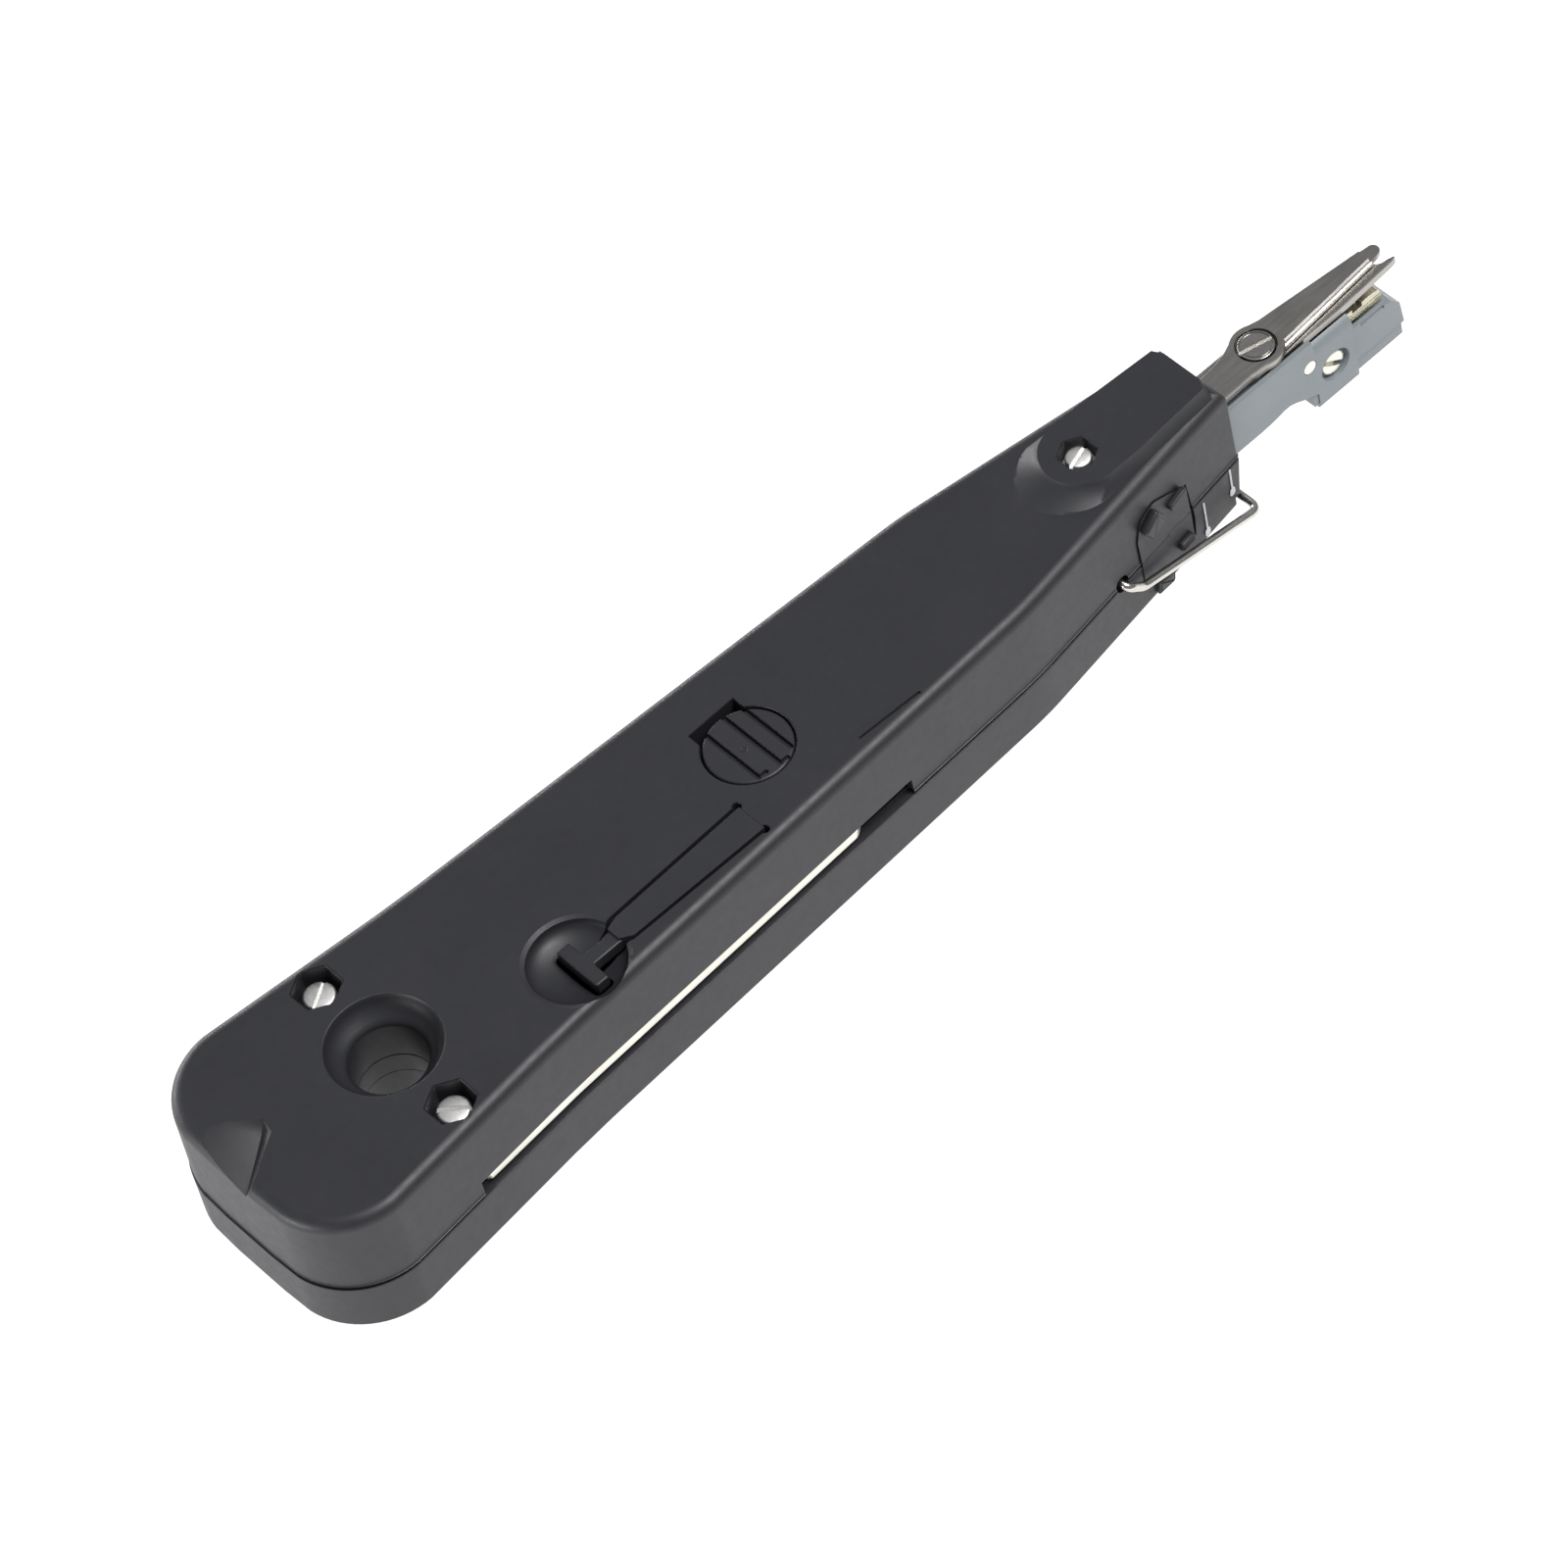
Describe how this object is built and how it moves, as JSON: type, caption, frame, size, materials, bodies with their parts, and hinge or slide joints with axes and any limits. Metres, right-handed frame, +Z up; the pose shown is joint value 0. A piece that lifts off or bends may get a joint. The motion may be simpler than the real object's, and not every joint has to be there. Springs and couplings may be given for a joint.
{
  "type": "punch down tool",
  "caption": "Punch down tool with spring-loaded sensor head and scissor wire cutter, fold-out hook and release blade in a flat dark plastic handle",
  "frame": {"origin": "on the flat underside of the lower shell, on the centre plane, 63.4 mm behind the casing's front face", "axes": "+X from the tail to the cutting head, +Y to the left side seen from the tail, +Z up, out of the face with the raised front platform"},
  "size_m": [0.1786, 0.0344, 0.0212],
  "materials": {
    "shell_plastic": "fine moulded texture, charcoal",
    "head_plastic": "smooth moulded, light grey",
    "nickel": "bright nickel plating",
    "blade_steel": "satin ground, darkened",
    "spring_steel": "drawn spring steel",
    "sensor_metal": "pale gilt, brushed edges"
  },
  "bodies": {
    "casing": {"upper_shell": "shell_plastic", "lower_shell": "shell_plastic", "rear_screw_right": "nickel", "rear_nut_right": "nickel", "rear_screw_left": "nickel", "rear_nut_left": "nickel", "front_screw": "nickel", "front_nut": "nickel", "cam_sleeve": "spring_steel", "lock_detent_spring": "spring_steel", "main_spring": "spring_steel", "spring_guide_rod": "spring_steel", "spring_seat": "spring_steel"},
    "head": {"head_body": "head_plastic", "head_cross_pin": "nickel", "head_screw": "nickel", "head_nut": "nickel", "scissor_pivot_screw": "nickel", "scissor_pivot_nut": "nickel", "sensor_spring": "spring_steel"},
    "sensor": {"sensor_plate": "sensor_metal"},
    "upper_blade": {"upper_scissor_blade": "blade_steel"},
    "lower_blade": {"lower_scissor_blade": "blade_steel"},
    "hook_arm": {"hook": "nickel", "hook_knob": "shell_plastic"},
    "release_arm": {"release_blade": "nickel", "release_knob": "shell_plastic"},
    "upper_latch": {"latch_tongue_upper": "shell_plastic"},
    "lower_latch": {"latch_tongue_lower": "shell_plastic"},
    "lock": {"lock_slider": "shell_plastic", "lock_bar": "spring_steel"},
    "bail": {"wire_bail": "nickel"}
  },
  "joints": [
    {"name": "head_slide", "type": "slide", "parent": "casing", "child": "head", "axis": [-1, 0, 0], "range_m": [0, 0.008], "stiffness_N_per_m": 1500, "springref_m": -0.004, "deforming": ["main_spring"]},
    {"name": "sensor_slide", "type": "slide", "parent": "head", "child": "sensor", "axis": [-1, 0, 0], "range_m": [0, 0.002], "stiffness_N_per_m": 150, "springref_m": -0.001, "deforming": ["sensor_spring"]},
    {"name": "upper_blade_turn", "type": "hinge", "parent": "head", "child": "upper_blade", "pos_m": [0.0728, 0, 0.014], "axis": [0, 0, -1], "range_deg": [0, 4.2]},
    {"name": "lower_blade_turn", "type": "hinge", "parent": "head", "child": "lower_blade", "pos_m": [0.0728, 0, 0.0127], "axis": [0, 0, 1], "range_deg": [0, 4.2]},
    {"name": "hook_fold", "type": "hinge", "parent": "casing", "child": "hook_arm", "pos_m": [-0.0075, -0.0006, 0.0087], "axis": [0, 0, 1], "range_deg": [0, 90]},
    {"name": "release_fold", "type": "hinge", "parent": "casing", "child": "release_arm", "pos_m": [-0.0075, 0.0006, 0.0066], "axis": [0, 0, -1], "range_deg": [0, 90]},
    {"name": "upper_latch_press", "type": "hinge", "parent": "casing", "child": "upper_latch", "pos_m": [-0.0143, -0.00825, 0.0185], "axis": [0, -1, 0], "range_deg": [0, 3], "stiffness_Nm_per_rad": 0.3},
    {"name": "lower_latch_press", "type": "hinge", "parent": "casing", "child": "lower_latch", "pos_m": [-0.0143, 0.00825, 0.0009], "axis": [0, 1, 0], "range_deg": [0, 3], "stiffness_Nm_per_rad": 0.3},
    {"name": "lock_slide", "type": "slide", "parent": "casing", "child": "lock", "axis": [0.9905, 0.1377, 0], "range_m": [0, 0.005]},
    {"name": "bail_swing", "type": "hinge", "parent": "casing", "child": "bail", "pos_m": [0.0414, 0, 0.0077], "axis": [0, 1, 0], "range_deg": [0, 55]}
  ],
  "couplings": [
    {"joint": "upper_blade_turn", "follows": "head_slide", "rad_per_m": 8.7266},
    {"joint": "lower_blade_turn", "follows": "head_slide", "rad_per_m": 8.7266}
  ]
}
